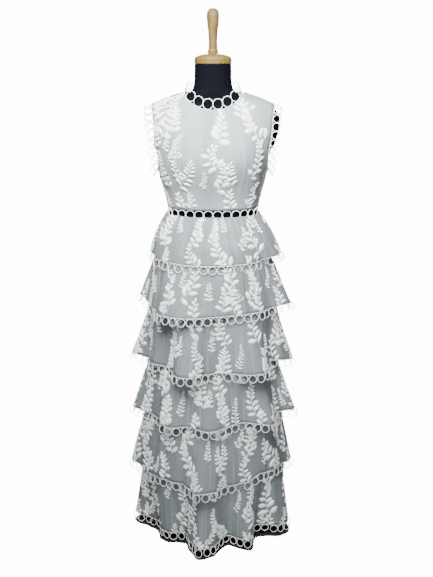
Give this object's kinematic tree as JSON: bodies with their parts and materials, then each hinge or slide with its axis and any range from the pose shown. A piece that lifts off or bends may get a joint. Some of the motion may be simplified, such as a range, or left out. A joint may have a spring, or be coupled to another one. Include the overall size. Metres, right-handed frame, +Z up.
{
  "type": "tiered dress on a dress form",
  "caption": "Sleeveless tiered maxi dress of leaf-sprigged tulle with ring-lace trims at neck, armholes, waist and hems, worn by a limbless dress form on a stand.",
  "frame": {"origin": "centre of the stand's flat underside, on the floor", "axes": "+Z up; -Y is the dress's front; +X is the wearer's left"},
  "size_m": [0.5684, 0.5605, 1.7116],
  "materials": {
    "sprigged_tulle": "white leaf sprigs embroidered on fine tulle over a silver-grey satin ground",
    "ring_lace": "matte corded ring lace",
    "underskirt_lining": "soft silver-grey satin",
    "navy_jersey": "matte fine jersey",
    "pale_wood": "satin varnish",
    "black_enamel": "satin"
  },
  "bodies": {
    "root": {"bodice_front": "sprigged_tulle", "bodice_back_left": "sprigged_tulle", "bodice_back_right": "sprigged_tulle", "tier_1": "sprigged_tulle", "tier_2": "sprigged_tulle", "tier_3": "sprigged_tulle", "tier_4": "sprigged_tulle", "tier_5": "sprigged_tulle", "tier_6": "sprigged_tulle", "neck_trim_front": "ring_lace", "neck_trim_back": "ring_lace", "armhole_trim_left_front": "ring_lace", "armhole_trim_left_back": "ring_lace", "armhole_trim_right_front": "ring_lace", "armhole_trim_right_back": "ring_lace", "waist_trim_front": "ring_lace", "waist_trim_back": "ring_lace", "hem_trim_1": "ring_lace", "hem_trim_2": "ring_lace", "hem_trim_3": "ring_lace", "hem_trim_4": "ring_lace", "hem_trim_5": "ring_lace", "hem_trim_6_front": "ring_lace", "hem_trim_6_back": "ring_lace", "base_skirt": "underskirt_lining", "form_torso": "navy_jersey", "neck_cap": "pale_wood", "finial": "pale_wood", "stand_pole": "black_enamel", "stand_foot": "black_enamel"}
  },
  "joints": []
}
